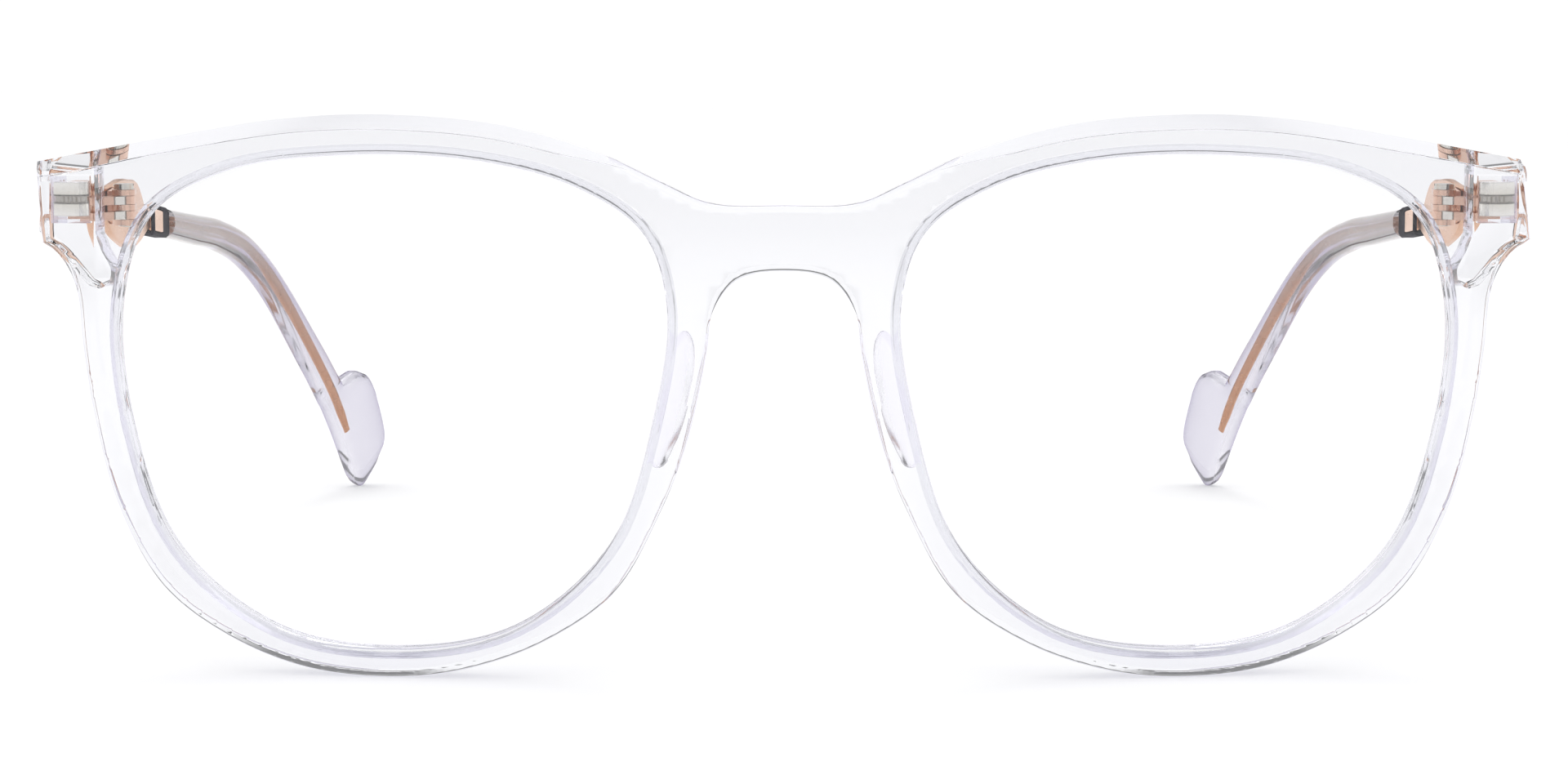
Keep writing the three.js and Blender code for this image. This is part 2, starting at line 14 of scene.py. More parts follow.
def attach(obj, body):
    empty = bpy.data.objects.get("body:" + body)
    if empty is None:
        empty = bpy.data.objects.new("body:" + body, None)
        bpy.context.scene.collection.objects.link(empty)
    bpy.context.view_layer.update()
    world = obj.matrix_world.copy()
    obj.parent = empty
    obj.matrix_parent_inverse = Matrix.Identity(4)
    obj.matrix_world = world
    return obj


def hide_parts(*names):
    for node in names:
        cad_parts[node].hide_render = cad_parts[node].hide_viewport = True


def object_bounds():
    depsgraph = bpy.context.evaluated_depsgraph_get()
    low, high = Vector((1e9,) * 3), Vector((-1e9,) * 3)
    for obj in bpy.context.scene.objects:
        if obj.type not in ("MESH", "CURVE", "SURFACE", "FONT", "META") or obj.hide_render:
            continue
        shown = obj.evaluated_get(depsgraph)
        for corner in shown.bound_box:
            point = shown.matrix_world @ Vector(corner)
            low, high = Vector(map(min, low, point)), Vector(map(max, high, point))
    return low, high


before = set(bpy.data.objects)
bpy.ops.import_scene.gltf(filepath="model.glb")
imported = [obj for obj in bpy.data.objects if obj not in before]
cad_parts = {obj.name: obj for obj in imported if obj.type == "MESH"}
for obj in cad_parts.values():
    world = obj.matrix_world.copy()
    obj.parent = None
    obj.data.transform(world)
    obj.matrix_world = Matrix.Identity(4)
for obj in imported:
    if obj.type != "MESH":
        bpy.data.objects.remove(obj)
CAD_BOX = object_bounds()

MM = 0.001
FRONT_Y = CAD_BOX[0].y  # the bridge's front face, in the frame

# ---------------------------------------------------------------- driving dimensions, in mm
FACE_RADIUS = 300  # plan-view curve of the front
RIM_DEPTH = 4
RIM_EDGE = 0.6  # rounding on the rim's edges
END_FRONT = 8  # where the end piece starts to wrap back
END_BACK = 16.6  # the end piece's rear face
END_SIDE_FRONT = 73.4  # its outer side, at the front and at the rear face
END_SIDE_BACK = 72.1
SIDE_INSET = 0.1  # keeps the block's side just inside the rim's end
BLOCK_GAP = 0.3  # the block starts this far behind the slope on the top edge
BLOCK_EDGE = 0.5  # rounding on the block's edges
LENS_THICKNESS = 1.6
LENS_DOME = 1.2  # how far the lens's middle bulges forward
LENS_BITE = 0.7  # how far the lens reaches into the rim
GROOVE_GAP = 0.3  # clearance round the lens's edge
RECESS_DEPTH = 0.95  # groove in the end piece's side, in front of the temple's nose
RECESS_HEIGHT = 3.2
RECESS_Z = 46.2
ARM_THICKNESS = 0.75
FIT_GAP = 0.15  # clearance between assembled metal pieces
OVERCUT = 1  # cutting blocks run this far past the faces that they open
CUT_REACH = 20  # and this far out where nothing is in their way
WELD_DISTANCE = 0.002  # points this close are one point

# The slope along the front's top edge, and the shape of what cuts it.
CHAMFER_HEIGHT = 1.35
CHAMFER_DEPTH = 1.2
CHAMFER_FADE = (8, 24)  # it grows to its full size between these distances from the middle
CREASE_DEPTH = 0.1  # fine line where the slope begins
CREASE_LIPS = ((-0.1, CREASE_DEPTH), (-0.02, -0.03))  # its low and high side, as (rise, depth)
LEAST_SLOPE = 0.05
CUTTER_START = 0.5  # the cutter waits this far above the edge where there is no slope
CUTTER_RUN = 1.5  # how many times the slope's own length the cutter follows it
CUTTER_TOP = 6
CUTTER_FRONT = -2
CUTTER_OVERRUN = (4, 0.6)  # past the front's ends, outward and in height
STRIP_WIDTH = 1.5  # the flat front is cut into strips before it is bent

# Outlines of the clear front, as (x, z).
APERTURE = [
    (11.2, 36), (13.4, 43.2), (20, 47.7), (30, 50.2), (43, 50.6), (54, 49), (61.6, 44.6),
    (64.6, 36), (63.6, 23.6), (59.2, 12.2), (49.4, 4.6), (38, 2.8), (26, 5.1), (16.8, 13.2),
    (12.6, 25.2),
]
TOP_EDGE = [
    (0, 45.9), (7, 46.1), (11.7, 48.1), (17.3, 50.7), (27, 53.5), (38, 54.5), (48, 54.1),
    (60, 52.2), (73, 49.8),
]
LOWER_EDGE = [
    (73, 42.2), (70.9, 40.8), (69.2, 37.8), (68.5, 31.5), (67.6, 25.4), (65.3, 16.4), (60.8, 8.4),
    (54.4, 3.7), (46.4, 0.7), (37.6, 0), (31, 0.9), (23.5, 3.6), (16.4, 8.6), (11.9, 16.4),
    (9.3, 23.2), (7.4, 31.8), (6.8, 35.8), (4.5, 38.8), (0, 39.6),
]
END_OUTLINE = [
    (67.2, 50.5), (72.6, 49.5), (73.8, 48.7), (73.8, 42.9), (73, 42.1), (70.6, 40.9),
    (69.3, 39.3), (68, 37.7), (66.9, 37.2), (65.9, 37.9), (65.7, 39.4), (66.6, 41),
    (67.2, 42.6),
]
LENS_MIDDLE = (37.8, 26.5)
ANCHOR = Vector((69.6, 11.6, 46.1))
ANCHOR_RADIUS = 1.75
ANCHOR_COLOUR_REACH = 2.2  # its bands of colour are spread over this height, up and down
HINGE_X = 66  # the hinge screw's axis
HINGE_COLOUR_REACH = 1  # the hinge's colours change over this distance, in and out
POCKET_HEIGHT = 4.6
POCKET_SHOULDER = (1, 2.4)  # how far behind the anchor the pocket starts to slant, out and in
POCKET_MOUTH = (0.7, -1.8)  # its sides at the rear face, from the anchor's axis
PAD_HALF_SIZE = (1.3, 5.2, 6.8)  # across, back and up
PAD_CENTRE = (10.9, 5.6, 27)
PAD_GAP = 0.04  # hairline between the rim and a pad moulded on its back
PAD_SPLAY = math.radians(14)
PAD_LEAN = math.radians(13)

# The metal temple from the side, as (y, low, high), and its outer face in plan, as (x, y).
ARM_PROFILE = [
    (10, 44.75, 47.65), (17, 44.75, 47.55), (20.5, 44.4, 47.3), (22.6, 43.5, 46.8), (24, 42, 47),
    (27.5, 40.8, 47.4), (32.5, 39.9, 47.2), (38, 40.3, 46.7), (41.2, 40.8, 45.3), (44, 41.2, 43.6),
    (52.8, 40.3, 42.6),
]
ARM_ROUTE = [
    (73, 10), (72.55, 13.3), (72, 16.8), (70.3, 19.8), (69, 23), (68.6, 28), (68.8, 36),
    (69.2, 45), (69.2, 60),
]
ARM_NOSE = 16.9  # where the visible plate begins, behind the end piece
FERRULE_START = 44.5
FERRULE_END = 53.5
FERRULE_WALL = 0.35
WINDOW_START = 45  # the ferrule's inner side is open from here, so that the metal shows
WINDOW_END = 50
PLATE_EDGE = 0.18  # rounding on the arm
FINE_EDGE = 0.05  # rounding on the small pieces in and round the ferrule
FERRULE_EDGE = 0.25
WINDOW_CUT = 3  # how far inward the window's cutter reaches

# The temple's centre line, and the tip's section along it:
# share of the length, half height towards the ear, half height in front, half thickness.
TIP_START = 53.8
TEMPLE_LINE = [
    (68.8, TIP_START, 41.5), (68.7, 71, 39.9), (68.4, 86, 38.4), (67.6, 101, 35.5),
    (66.2, 112, 30.9), (64, 124, 22.9), (61.2, 136, 12.7), (59, 146.2, 0.3),
]
TIP_SECTIONS = [
    (0, 1.5, 1.6, 1.4), (0.3, 1.7, 2, 1.5), (0.6, 1.9, 2.3, 1.5), (0.79, 2, 2.3, 1.4),
    (0.82, 2.8, 2.3, 1.35), (0.845, 5.6, 2.2, 1.3), (0.885, 7, 2.1, 1.3), (0.94, 6.8, 1.9, 1.25),
    (0.98, 4.6, 1.6, 1.1), (1, 0.8, 0.6, 0.5),
]
TIP_FIRST_SHARE = 0.0006  # where the tip's skin begins
TIP_TWIST = math.radians(-34)  # the paddle turns to lie behind the ear
TWIST_SPREAD = (0.5, 0.9)  # the shares of the length between which it turns
CORE_SHARE = 0.9  # how far the core runs into the tip
CORE_START = 0.004
CORE_FINE = 0.45  # its size near the ferrule, as a share of the full size
CORE_GROWTH = (0.15, 0.55)  # where it grows to the full size
CORE_TAPER = 0.3  # how much finer it is at its very end
CORE_TAPER_START = 0.86
CORE_HALF_HEIGHT = 0.55
CORE_HALF_THICKNESS = 0.4

# The camera stands in front of the glasses, a little above them, and looks slightly down.
CAMERA_DISTANCE = 318  # from the front of the bridge
CAMERA_HEIGHT = 61.2
CAMERA_PITCH = math.radians(5.93)
CAMERA_LENS = 76.9
SENSOR = 36

# The room's greys, as (sine of the height above the horizon, grey), and a lamp, in metres and watts.
ROOM_GREYS = [(0.0, 0.5), (0.15, 0.5), (0.18, 0.11), (0.28, 0.11), (0.34, 0.41), (0.75, 0.55)]
ROOM_STRENGTH = 2.17
KEY_PLACE = (0, 0.35, 0.6)
KEY_SIZE = 0.25
KEY_POWER = 0.5

TANGENT_STEP = 0.004  # share of a path's length over which its direction is read


# ---------------------------------------------------------------- curves
def catmull(p0, p1, p2, p3, t):
    """A point between p1 and p2 on a centripetal Catmull-Rom curve."""
    spans = [max((b - a).length, 1e-6) ** 0.5 for a, b in ((p0, p1), (p1, p2), (p2, p3))]
    m1 = (p1 - p0) / spans[0] - (p2 - p0) / (spans[0] + spans[1]) + (p2 - p1) / spans[1]
    m2 = (p2 - p1) / spans[1] - (p3 - p1) / (spans[1] + spans[2]) + (p3 - p2) / spans[2]
    m1, m2 = m1 * spans[1], m2 * spans[1]
    c2 = (p2 - p1) * 3 - m1 * 2 - m2
    c3 = (p1 - p2) * 2 + m1 + m2
    return p1 + m1 * t + c2 * t * t + c3 * t ** 3


class Path:
    """A smooth path through points, read by its share of the length from 0 to 1."""

    def __init__(self, points, closed=False, fineness=24):
        knots = [Vector(p) for p in points]
        count = len(knots)
        self.points = []
        for i in range(count if closed else count - 1):
            if closed:
                near = [knots[(i + k) % count] for k in (-1, 0, 1, 2)]
            else:
                before = knots[i - 1] if i else knots[0] * 2 - knots[1]
                after = knots[i + 2] if i + 2 < count else knots[-1] * 2 - knots[-2]
                near = [before, knots[i], knots[i + 1], after]
            self.points += [catmull(*near, k / fineness) for k in range(fineness)]
        self.points.append(knots[0] if closed else knots[-1])
        self.lengths = [0.0]
        for a, b in zip(self.points, self.points[1:]):
            self.lengths.append(self.lengths[-1] + (b - a).length)

    def at(self, share):
        """The point at a share of the length."""
        target = min(max(share, 0), 1) * self.lengths[-1]
        low, high = 0, len(self.lengths) - 1
        while high - low > 1:
            middle = (low + high) // 2
            if self.lengths[middle] <= target:
                low = middle
            else:
                high = middle
        span = self.lengths[high] - self.lengths[low]
        return self.points[low].lerp(self.points[high], (target - self.lengths[low]) / span)

    def along(self, share):
        """The direction at a share of the length."""
        step = TANGENT_STEP
        return (self.at(share + step) - self.at(share - step)).normalized()

    def even(self, count):
        """That many points at even distances, without the last end."""
        return [self.at(i / count) for i in range(count)]


def table_at(table, value):
    """Reads a table at a value of its first column, in straight lines between its rows."""
    rows = [row for row in table if row[0] <= value]
    i = min(max(len(rows) - 1, 0), len(table) - 2)
    a, b = table[i], table[i + 1]
    blend = min(max((value - a[0]) / (b[0] - a[0]), 0), 1)
    return [x + (y - x) * blend for x, y in zip(a, b)]


def smoothstep(value, low, high):
    """Goes gently from 0 at low to 1 at high."""
    t = min(max((value - low) / (high - low), 0), 1)
    return t * t * (3 - 2 * t)


def face_curve(x):
    """How far the front's plan curve has bent back at a distance from the middle."""
    return x * x / (2 * FACE_RADIUS)


def side_x(y):
    """The end piece's outer side at a depth behind the front."""
    share = (y - END_FRONT) / (END_BACK - END_FRONT)
    return END_SIDE_FRONT + (END_SIDE_BACK - END_SIDE_FRONT) * share


# ---------------------------------------------------------------- mesh helpers
def object_from(bm, name, smooth_angle=35):
    """Turns a bmesh in millimetres into a shaded object in the frame, in metres."""
    for v in bm.verts:
        v.co = Vector((v.co.x * MM, v.co.y * MM + FRONT_Y, v.co.z * MM))
    bmesh.ops.recalc_face_normals(bm, faces=bm.faces)
    mesh = bpy.data.meshes.new(name)
    bm.to_mesh(mesh)
    bm.free()
    obj = bpy.data.objects.new(name, mesh)
    bpy.context.scene.collection.objects.link(obj)
    shade(mesh, smooth_angle)
    return obj


def shade(mesh, angle):
    """Smooth shading, with a crisp edge wherever faces meet more sharply than the angle."""
    mesh.shade_smooth()
    mesh.set_sharp_from_angle(angle=math.radians(angle))


def mirrored(obj, name):
    """A copy of a left-hand piece, mirrored to the wearer's right."""
    mesh = obj.data.copy()
    mesh.transform(Matrix.Scale(-1, 4, (1, 0, 0)))
    mesh.flip_normals()
    copy = bpy.data.objects.new(name, mesh)
    bpy.context.scene.collection.objects.link(copy)
    return copy


def grid_body(rows):
    """A closed skin over rings of points, with a cap on the first and last ring."""
    bm = bmesh.new()
    rings = [[bm.verts.new(p) for p in row] for row in rows]
    count = len(rings[0])
    for a, b in zip(rings, rings[1:]):
        for i in range(count):
            j = (i + 1) % count
            bm.faces.new((a[i], a[j], b[j], b[i]))
    bm.faces.new(rings[0][::-1])
    bm.faces.new(rings[-1])
    return bm


def prism(plan, low, high, place):
    """A straight extrusion of a plan from low to high; place puts (u, v, height) in space."""
    return grid_body([[place(u, v, h) for u, v in plan] for h in (low, high)])


def boolean(target, cutter, operation):
    """Joins or cuts one mesh object by another and removes the other."""
    step = target.modifiers.new(operation.lower(), "BOOLEAN")
    step.operation = operation
    step.solver = "EXACT"
    step.object = cutter
    apply_modifiers(target)
    bpy.data.objects.remove(cutter)


def apply_modifiers(obj):
    """Replaces a mesh by what its modifiers make of it."""
    graph = bpy.context.evaluated_depsgraph_get()
    mesh = bpy.data.meshes.new_from_object(obj.evaluated_get(graph))
    obj.modifiers.clear()
    old = obj.data
    obj.data = mesh
    bpy.data.meshes.remove(old)


def rounded_edges(obj, width, angle=30, segments=2):
    """Takes the sharpness off a piece's edges."""
    step = obj.modifiers.new("edges", "BEVEL")
    step.width = width * MM
    step.segments = segments
    step.limit_method = "ANGLE"
    step.angle_limit = math.radians(angle)
    step.use_clamp_overlap = True
    step.harden_normals = False


# ---------------------------------------------------------------- the clear front
def aperture_loop(margin, count=192):
    """The left lens opening's edge as (x, z) points, a margin further out into the rim."""
    path = Path([(x, z, 0) for x, z in APERTURE], closed=True)
    loop = []
    for i in range(count):
        at, along = path.at(i / count), path.along(i / count)
        if i == 0:
            along = (path.at(TANGENT_STEP) - path.at(1 - TANGENT_STEP)).normalized()
        loop.append((at.x - along.y * margin, at.y + along.x * margin))
    return loop


def whole_top_edge():
    """The front's top edge from its right end to its left end."""
    return [(-x, z, 0) for x, z in reversed(TOP_EDGE[1:])] + [(x, z, 0) for x, z in TOP_EDGE]


def outline_loop():
    """The front's whole outer edge: along the top to the left end, and back underneath."""
    lower = [(x, z, 0) for x, z in LOWER_EDGE[:-1]]
    under = [(x, z, 0) for x, z in LOWER_EDGE] + [(-x, z, 0) for x, z, _ in reversed(lower)]
    return [(p.x, p.y) for p in Path(whole_top_edge()).even(140) + Path(under).even(420)]


def flat_front():
    """The rims and bridge as one flat plate with rounded edges, as a curve made into a mesh."""
    curve = bpy.data.curves.new("front_plate", "CURVE")
    curve.dimensions = "2D"
    curve.fill_mode = "BOTH"
    curve.extrude = RIM_DEPTH / 2 - RIM_EDGE
    curve.bevel_depth = RIM_EDGE
    curve.bevel_resolution = 2
    curve.offset = -RIM_EDGE
    right = [(-x, z) for x, z in aperture_loop(0)]
    for loop in (outline_loop(), aperture_loop(0), right):
        spline = curve.splines.new("POLY")
        spline.points.add(len(loop) - 1)
        for point, (x, z) in zip(spline.points, loop):
            point.co = (x, z, 0, 1)
        spline.use_cyclic_u = True
    holder = bpy.data.objects.new("front_plate", curve)
    bpy.context.scene.collection.objects.link(holder)
    graph = bpy.context.evaluated_depsgraph_get()
    mesh = bpy.data.meshes.new_from_object(holder.evaluated_get(graph))
    bm = bmesh.new()
    bm.from_mesh(mesh)
    bpy.data.objects.remove(holder)
    bpy.data.meshes.remove(mesh)
    bmesh.ops.remove_doubles(bm, verts=bm.verts, dist=WELD_DISTANCE)
    return bm


def top_chamfer():
    """What the slope along the front's top edge takes away, with a fine line where it begins."""
    end_x, end_z = TOP_EDGE[-1]
    over_x, over_z = CUTTER_OVERRUN
    before = [(-end_x - over_x, end_z + over_z, 0)]
    after = [(end_x + over_x, end_z - over_z, 0)]
    back = CUTTER_RUN * CHAMFER_DEPTH
    (low_lip, low_depth), (high_lip, high_depth) = CREASE_LIPS
    rows = []
    for p in Path(before + whole_top_edge() + after).even(170):
        share = smoothstep(abs(p.x), *CHAMFER_FADE)
        crease = p.y + CUTTER_START - (CHAMFER_HEIGHT + CUTTER_START) * share
        slope = CHAMFER_HEIGHT * share + LEAST_SLOPE
        section = [
            (-CUTTER_START, -CUTTER_START), (low_depth, low_lip), (high_depth, high_lip),
            (back, CUTTER_RUN * slope), (back, CUTTER_TOP), (CUTTER_FRONT, CUTTER_TOP),
            (CUTTER_FRONT, -CUTTER_START),
        ]
        rows.append([Vector((p.x, y, crease + rise)) for y, rise in section])
    return grid_body(rows)


def bend(obj):
    """Cuts a flat piece into upright strips and bends it to the face curve."""
    bm = bmesh.new()
    bm.from_mesh(obj.data)
    reach = max(abs(v.co.x) for v in bm.verts) / MM
    count = int(reach / STRIP_WIDTH)
    for k in range(-count, count + 1):
        geometry = list(bm.verts) + list(bm.edges) + list(bm.faces)
        cut = (k * STRIP_WIDTH * MM, 0, 0)
        bmesh.ops.bisect_plane(bm, geom=geometry, plane_co=cut, plane_no=(1, 0, 0))
    for v in bm.verts:
        v.co.y += face_curve(v.co.x / MM) * MM
    bm.to_mesh(obj.data)
    bm.free()


def end_block():
    """The end piece's wrapped-back block, before it joins the front."""
    rows = []
    for share in (0, 0.35, 0.7, 1):
        row = []
        for x, z in END_OUTLINE:
            start = face_curve(x) + CHAMFER_DEPTH + BLOCK_GAP
            y = start + (END_BACK - start) * share
            row.append(Vector((min(x, side_x(y) - SIDE_INSET), y, z)))
        rows.append(row)
    return grid_body(rows)


def pocket():
    """The hollow that holds the anchor, narrowing to its mouth at the rear face."""
    half = ANCHOR_RADIUS + GROOVE_GAP
    outer = ANCHOR.x + ANCHOR_RADIUS + FIT_GAP
    shoulder_out, shoulder_in = POCKET_SHOULDER
    mouth_out, mouth_in = POCKET_MOUTH
    rear = END_BACK + OVERCUT
    plan = [
        (ANCHOR.x - half, ANCHOR.y - half), (outer, ANCHOR.y - half),
        (outer, ANCHOR.y + shoulder_out), (ANCHOR.x + mouth_out, rear),
        (ANCHOR.x + mouth_in, rear), (ANCHOR.x - half, ANCHOR.y + shoulder_in),
    ]
    low, high = ANCHOR.z - POCKET_HEIGHT / 2, ANCHOR.z + POCKET_HEIGHT / 2
    return prism(plan, low, high, lambda x, y, z: Vector((x, y, z)))


def side_recess():
    """The groove along the end piece's outer side."""
    far = ANCHOR.x + CUT_REACH
    rear = END_BACK + OVERCUT
    plan = [
        (side_x(RIM_DEPTH) - RECESS_DEPTH, RIM_DEPTH), (far, RIM_DEPTH),
        (far, rear), (side_x(rear) - RECESS_DEPTH, rear),
    ]
    low, high = RECESS_Z - RECESS_HEIGHT / 2, RECESS_Z + RECESS_HEIGHT / 2
    return prism(plan, low, high, lambda x, y, z: Vector((x, y, z)))


def lens_groove():
    """A thick copy of the lens that cuts its groove in the rim."""
    half = LENS_THICKNESS / 2 + GROOVE_GAP
    loop = aperture_loop(LENS_BITE + GROOVE_GAP)
    middle = RIM_DEPTH / 2

    def place(x, z, y):
        return Vector((x, y + face_curve(x), z))

    return prism(loop, middle - half, middle + half, place)


def nose_pad():
    """An egg behind the nose side of the rim, before it is cut to the rim's back."""
    bm = bmesh.new()
    bmesh.ops.create_uvsphere(bm, u_segments=64, v_segments=40, radius=1)
    turn = Matrix.Rotation(-PAD_LEAN, 4, "Y") @ Matrix.Rotation(-PAD_SPLAY, 4, "Z")
    for v in bm.verts:
        egg = Vector(a * b for a, b in zip(v.co, PAD_HALF_SIZE))
        v.co = turn @ egg + Vector(PAD_CENTRE)
    return bm


def both_sides(make, name):
    """One bmesh maker's solid on each side of the glasses, as two objects."""
    left = object_from(make(), name)
    return [left, mirrored(left, name + "_mirror")]


def front_piece():
    """The clear moulding: rims and bridge, end pieces, pockets and lens grooves."""
    plate = flat_front()
    for v in plate.verts:
        v.co = Vector((v.co.x, v.co.z + RIM_DEPTH / 2, v.co.y))
    front = object_from(plate, "clear_front")
    boolean(front, object_from(top_chamfer(), "chamfer"), "DIFFERENCE")
    bend(front)
    left = object_from(end_block(), "end_block")
    rounded_edges(left, BLOCK_EDGE, segments=3)
    apply_modifiers(left)
    boolean(left, object_from(side_recess(), "recess"), "DIFFERENCE")
    for block in (mirrored(left, "mirror_block"), left):
        boolean(front, block, "UNION")
    for make in (pocket, lens_groove):
        for cutter in both_sides(make, make.__name__):
            boolean(front, cutter, "DIFFERENCE")
    shade(front.data, 35)
    return front


def pad_piece(front):
    """The nose pad, cut to the back of the rim."""
    pad = object_from(nose_pad(), "left_soft_nose_pad")
    rim = bpy.data.objects.new("rim", front.data.copy())
    rim.location.y = PAD_GAP * MM
    bpy.context.scene.collection.objects.link(rim)
    boolean(pad, rim, "DIFFERENCE")
    shade(pad.data, 40)
    return pad


def lens_piece():
    """A domed lens: rings from the middle out to its edge in the groove, front and back."""
    loop = aperture_loop(LENS_BITE)
    reaches = [0.04, 0.2, 0.4, 0.55, 0.7, 0.82, 0.92, 0.97, 1]
    sides = [(-1, r) for r in reaches] + [(1, r) for r in reversed(reaches)]
    rows = []
    for direction, reach in sides:
        row = []
        for x, z in loop:
            at_x = LENS_MIDDLE[0] + (x - LENS_MIDDLE[0]) * reach
            at_z = LENS_MIDDLE[1] + (z - LENS_MIDDLE[1]) * reach
            dome = LENS_DOME * (1 - reach * reach)
            y = RIM_DEPTH / 2 + direction * LENS_THICKNESS / 2 - dome + face_curve(at_x)
            row.append(Vector((at_x, y, at_z)))
        rows.append(row)
    return object_from(grid_body(rows), "left_clear_lens")


# ---------------------------------------------------------------- the temples
arm_route = Path([(x, y, 0) for x, y in ARM_ROUTE])


def arm_outer(y):
    """The outer face of the metal temple at a depth behind the front."""
    low, high = 0.0, 1.0
    for _ in range(30):
        middle = (low + high) / 2
        if arm_route.at(middle).y < y:
            low = middle
        else:
            high = middle
    return arm_route.at(low).x


def plate_rows(profile, outer, thickness, steps=70, edge=PLATE_EDGE):
    """Rings round a thin upright plate that follows a side profile, with rounded edges."""
    low_line = Path([(y, low, 0) for y, low, _ in profile])
    high_line = Path([(y, high, 0) for y, _, high in profile])
    lows = sorted((p.x, p.y) for p in low_line.points)
    highs = sorted((p.x, p.y) for p in high_line.points)
    first, last = profile[0][0], profile[-1][0]
    rows = []
    for i in range(steps + 1):
        y = first + (last - first) * i / steps
        end = min(y - first, last - y)
        inset = edge * max(0, 1 - end / edge) ** 2 if end < edge else 0
        low, high = line_at(lows, y) + inset, line_at(highs, y) - inset
        x1 = outer(y)
        x0 = x1 - thickness
        rows.append([
            Vector((x0 + edge, y, low)), Vector((x1 - edge, y, low)),
            Vector((x1, y, low + edge)), Vector((x1, y, high - edge)),
            Vector((x1 - edge, y, high)), Vector((x0 + edge, y, high)),
            Vector((x0, y, high - edge)), Vector((x0, y, low + edge)),
        ])
    return rows


def line_at(points, value):
    """Height of a line of (y, z) points at one y."""
    for (a, za), (b, zb) in zip(points, points[1:]):
        if a <= value <= b and b > a:
            return za + (zb - za) * (value - a) / (b - a)
    return points[0][1] if value < points[0][0] else points[-1][1]


def plate_object(name, profile, outer, thickness, *finish):
    """A plate as an object; finish is its number of rings and its edges' rounding."""
    return object_from(grid_body(plate_rows(profile, outer, thickness, *finish)), name)


def arm_piece():
    """The metal temple, with a raised inlay that fills the ferrule's window."""
    profile = [(ARM_NOSE, *ARM_PROFILE[0][1:])] + ARM_PROFILE[1:]
    arm = plate_object("left_metal_arm", profile, arm_outer, ARM_THICKNESS)
    window = sleeve(WINDOW_START + FIT_GAP, WINDOW_END - FIT_GAP, 0)
    raised = FIT_GAP + FERRULE_WALL
    inlay = plate_object(
        "inlay", window, lambda y: arm_outer(y) - ARM_THICKNESS + FIT_GAP, raised + FIT_GAP,
        8, FINE_EDGE)
    boolean(arm, inlay, "UNION")
    shade(arm.data, 35)
    return arm


def sleeve(y0, y1, margin):
    """A straight piece of the arm's side profile, taller by a margin above and below."""
    return [(y, table_at(ARM_PROFILE, y)[1] - margin, table_at(ARM_PROFILE, y)[2] + margin)
            for y in (y0, y1)]


def ferrule_piece():
    """A black sleeve round the arm's end, open on its inner side so that the metal shows."""
    skin = FIT_GAP + FERRULE_WALL
    shell = plate_object(
        "left_black_ferrule", sleeve(FERRULE_START, FERRULE_END, skin),
        lambda y: arm_outer(y) + skin, ARM_THICKNESS + 2 * skin, 16, FERRULE_EDGE)
    bore = plate_object(
        "bore", sleeve(FERRULE_START - OVERCUT, FERRULE_END - FERRULE_WALL, FIT_GAP),
        lambda y: arm_outer(y) + FIT_GAP, ARM_THICKNESS + 2 * FIT_GAP, 8, FINE_EDGE)
    window = plate_object(
        "window", sleeve(WINDOW_START, WINDOW_END, FIT_GAP),
        lambda y: arm_outer(y) - ARM_THICKNESS, WINDOW_CUT, 4, FINE_EDGE)
    boolean(shell, bore, "DIFFERENCE")
    boolean(shell, window, "DIFFERENCE")
    shade(shell.data, 35)
    return shell


temple_line = Path(TEMPLE_LINE)


def softened(value, power):
    """A sine's value drawn out towards a box's: 1 gives an ellipse, less a fuller section."""
    return math.copysign(abs(value) ** power, value)


def sweep_rows(share0, share1, steps, sides, section, softness):
    """Rings along the temple's centre line with a rounded, changing section."""
    rows = []
    for i in range(steps + 1):
        share = share0 + (share1 - share0) * i / steps
        along = temple_line.along(share)
        twist = TIP_TWIST * smoothstep(share, *TWIST_SPREAD)
        up = Matrix.Rotation(twist, 3, along) @ Vector((0, -along.z, along.y)).normalized()
        out = -along.cross(up)
        back, front, thick = section(share)
        row = []
        for k in range(sides):
            angle = 2 * math.pi * k / sides
            rise = softened(math.cos(angle), softness)
            wide = softened(math.sin(angle), softness)
            point = temple_line.at(share) + up * rise * (back if rise > 0 else front)
            row.append(point + out * wide * thick)
        rows.append(row)
    return rows


tip_sections = Path(TIP_SECTIONS).points


def tip_section(share):
    """The tip's half height towards the ear, half height in front and half thickness."""
    for a, b in zip(tip_sections, tip_sections[1:]):
        if a[0] <= share <= b[0] and b[0] > a[0]:
            return a.lerp(b, (share - a[0]) / (b[0] - a[0]))[1:]
    return tip_sections[-1][1:]


def core_section(share):
    """The metal core's section: finer near the ferrule and at its very end."""
    growth = (1 - CORE_FINE) * smoothstep(share, *CORE_GROWTH)
    size = CORE_FINE + growth - CORE_TAPER * smoothstep(share, CORE_TAPER_START, CORE_SHARE)
    return CORE_HALF_HEIGHT * size, CORE_HALF_HEIGHT * size, CORE_HALF_THICKNESS * size


def core_piece():
    """The metal core inside the tip."""
    rows = sweep_rows(CORE_START, CORE_SHARE, 110, 20, core_section, 0.7)
    return object_from(grid_body(rows), "left_copper_core", 50)


def tip_piece():
    """The clear tip, cut flat where it stands on the floor."""
    rows = sweep_rows(TIP_FIRST_SHARE, 1, 140, 40, tip_section, 0.8)
    tip = object_from(grid_body(rows), "left_clear_tip", 60)
    end_x, end_y, _ = TEMPLE_LINE[-1]
    floor = bmesh.new()
    bmesh.ops.create_cube(floor, size=2 * CUT_REACH)
    bmesh.ops.translate(floor, verts=floor.verts, vec=(end_x, end_y, -CUT_REACH))
    boolean(tip, object_from(floor, "floor_cut"), "DIFFERENCE")
    shade(tip.data, 50)
    return tip


# ---------------------------------------------------------------- materials
PINK = ((0.72, 0.48, 0.37), (0.8, 0.55, 0.43))  # dark and light shade of the hinge's plating


